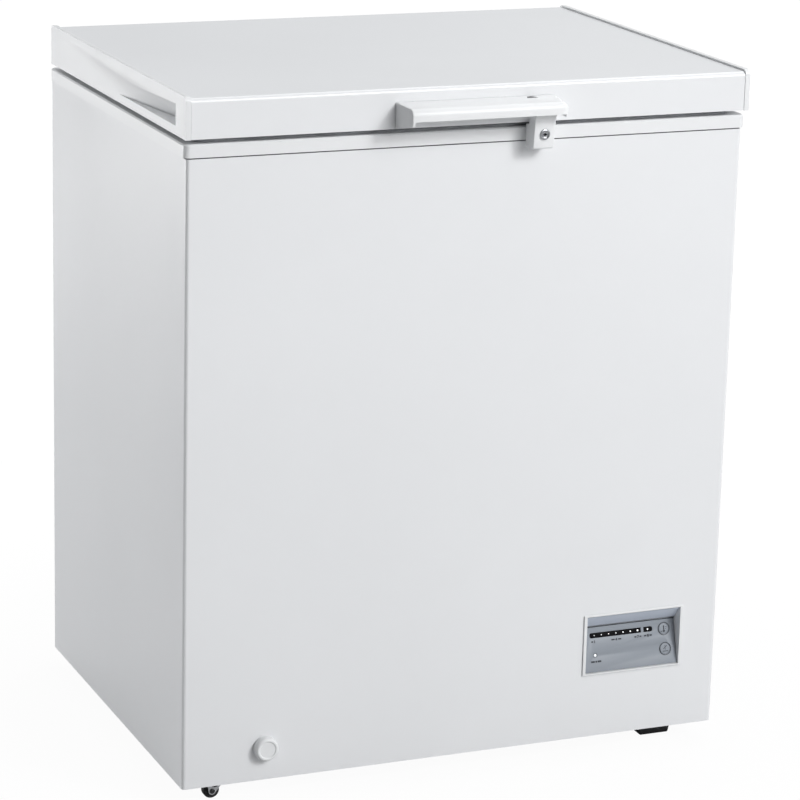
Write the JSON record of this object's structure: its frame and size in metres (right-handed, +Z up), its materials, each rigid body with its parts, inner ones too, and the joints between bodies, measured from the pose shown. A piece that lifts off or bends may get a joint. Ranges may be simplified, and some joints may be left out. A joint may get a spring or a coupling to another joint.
{
  "type": "chest freezer",
  "caption": "White top-opening chest freezer with a hinged lid, hooded front handle, key lock, sloping control panel, front drain knob and low castors and feet.",
  "frame": {"origin": "on the floor, under the middle of the overall box with the lid shut", "axes": "+Z up; the front with the handle, lock and controls faces -Y and the hinges are at +Y; +X is to the right of someone standing in front"},
  "size_m": [0.7054, 0.58, 0.85],
  "materials": {
    "white_steel": "semi-gloss white coated sheet",
    "rear_steel": "satin white coated sheet",
    "zinc_steel": "zinc-plated, satin",
    "lock_metal": "nickel-plated, satin",
    "white_plastic": "semi-gloss moulded",
    "white_gloss_plastic": "gloss moulded",
    "tub_plastic": "satin white",
    "insulation_foam": "foamed, matt",
    "black_rubber": "matt",
    "seal_rubber": "matt grey",
    "black_plastic": "satin black",
    "black_steel": "satin black",
    "copper_tube": "bright drawn tube",
    "aluminium_tube": "drawn tube",
    "silver_plate": "satin silver grey",
    "smoked_lens": "gloss black",
    "clear_lens": "gloss clear",
    "circuit_board": "green laminate",
    "coated_wire": "white plastic-coated wire"
  },
  "bodies": {
    "cabinet": {"base_pan": "zinc_steel", "castor_front_plate": "zinc_steel", "castor_rear_plate": "zinc_steel", "compressor": "black_steel", "compressor_base": "black_steel", "compressor_mount": "black_rubber", "condenser_coil": "copper_tube", "control_bezel": "white_plastic", "control_faceplate": "silver_plate", "control_pcb": "circuit_board", "cord_inlet": "black_plastic", "discharge_pipe": "copper_tube", "drain_tube": "white_plastic", "evaporator_coil": "aluminium_tube", "filter_drier": "copper_tube", "foam_insulation": "insulation_foam", "foot_front_right": "black_plastic", "foot_rear_right": "black_plastic", "hinge_left_leaf": "zinc_steel", "hinge_left_pin": "zinc_steel", "hinge_left_spring": "zinc_steel", "hinge_right_leaf": "zinc_steel", "hinge_right_pin": "zinc_steel", "hinge_right_spring": "zinc_steel", "inner_liner": "tub_plastic", "led_bar_lens": "smoked_lens", "led_fast_lens": "smoked_lens", "lock_keeper": "zinc_steel", "machine_bay_panel": "zinc_steel", "outer_shell": "white_steel", "rear_bay_cover": "black_plastic", "rear_panel": "rear_steel", "relay_cover": "black_plastic", "running_lens": "clear_lens", "suction_pipe": "copper_tube", "top_collar": "white_plastic"},
    "lid": {"lid_panel": "white_steel", "lid_trim_left": "white_plastic", "lid_trim_right": "white_plastic", "lid_foam": "insulation_foam", "lid_liner": "white_plastic", "lid_gasket": "seal_rubber", "lid_handle": "white_gloss_plastic", "handle_screw_left": "zinc_steel", "handle_screw_right": "zinc_steel", "lock_housing": "white_gloss_plastic", "hinge_left_arm": "zinc_steel", "hinge_right_arm": "zinc_steel"},
    "lock": {"lock_cylinder": "lock_metal", "lock_cam": "zinc_steel"},
    "temperature_button": {"button_temperature": "white_plastic"},
    "fast_freeze_button": {"button_fast_freeze": "white_plastic"},
    "drain_spout_body": {"drain_spout": "white_plastic"},
    "drain_knob_body": {"drain_knob": "white_plastic"},
    "drain_plug_body": {"drain_plug": "black_rubber"},
    "basket": {"storage_basket": "coated_wire"},
    "castor_front_swivel_body": {"castor_front_fork": "zinc_steel"},
    "castor_front_wheel_body": {"castor_front_wheel": "black_rubber"},
    "castor_rear_swivel_body": {"castor_rear_fork": "zinc_steel"},
    "castor_rear_wheel_body": {"castor_rear_wheel": "black_rubber"}
  },
  "joints": [
    {"name": "lid_hinge", "type": "hinge", "parent": "cabinet", "child": "lid", "pos_m": [0, 0.2842, 0.8], "axis": [-1, 0, 0], "range_deg": [0, 80], "stiffness_Nm_per_rad": 6, "springref_deg": 80.21},
    {"name": "lock_turn", "type": "hinge", "parent": "lid", "child": "lock", "pos_m": [0.0775, -0.26, 0.7896], "axis": [0, 1, 0], "range_deg": [0, 90]},
    {"name": "button_temperature_press", "type": "slide", "parent": "cabinet", "child": "temperature_button", "axis": [0, 0.965, -0.2622], "range_m": [0, 0.0008], "stiffness_N_per_m": 300},
    {"name": "button_fast_freeze_press", "type": "slide", "parent": "cabinet", "child": "fast_freeze_button", "axis": [0, 0.965, -0.2622], "range_m": [0, 0.0008], "stiffness_N_per_m": 300},
    {"name": "drain_pull", "type": "slide", "parent": "cabinet", "child": "drain_spout_body", "axis": [0, -1, 0], "range_m": [0, 0.012]},
    {"name": "drain_turn", "type": "hinge", "parent": "drain_spout_body", "child": "drain_knob_body", "pos_m": [-0.2465, -0.246, 0.066], "axis": [0, -1, 0], "range_deg": [0, 180]},
    {"name": "drain_plug_lift", "type": "slide", "parent": "cabinet", "child": "drain_plug_body", "axis": [0, 0, 1], "range_m": [0, 0.04]},
    {"name": "basket_slide", "type": "slide", "parent": "cabinet", "child": "basket", "axis": [1, 0, 0], "range_m": [-0.355, 0]},
    {"name": "castor_front_swivel", "type": "hinge", "parent": "cabinet", "child": "castor_front_swivel_body", "pos_m": [-0.299, -0.212, 0.022], "axis": [0, 0, 1], "continuous": true},
    {"name": "castor_front_roll", "type": "hinge", "parent": "castor_front_swivel_body", "child": "castor_front_wheel_body", "pos_m": [-0.3045, -0.212, 0.01], "axis": [0, 1, 0], "continuous": true},
    {"name": "castor_rear_swivel", "type": "hinge", "parent": "cabinet", "child": "castor_rear_swivel_body", "pos_m": [-0.299, 0.23, 0.022], "axis": [0, 0, 1], "continuous": true},
    {"name": "castor_rear_roll", "type": "hinge", "parent": "castor_rear_swivel_body", "child": "castor_rear_wheel_body", "pos_m": [-0.3045, 0.23, 0.01], "axis": [0, 1, 0], "continuous": true}
  ]
}
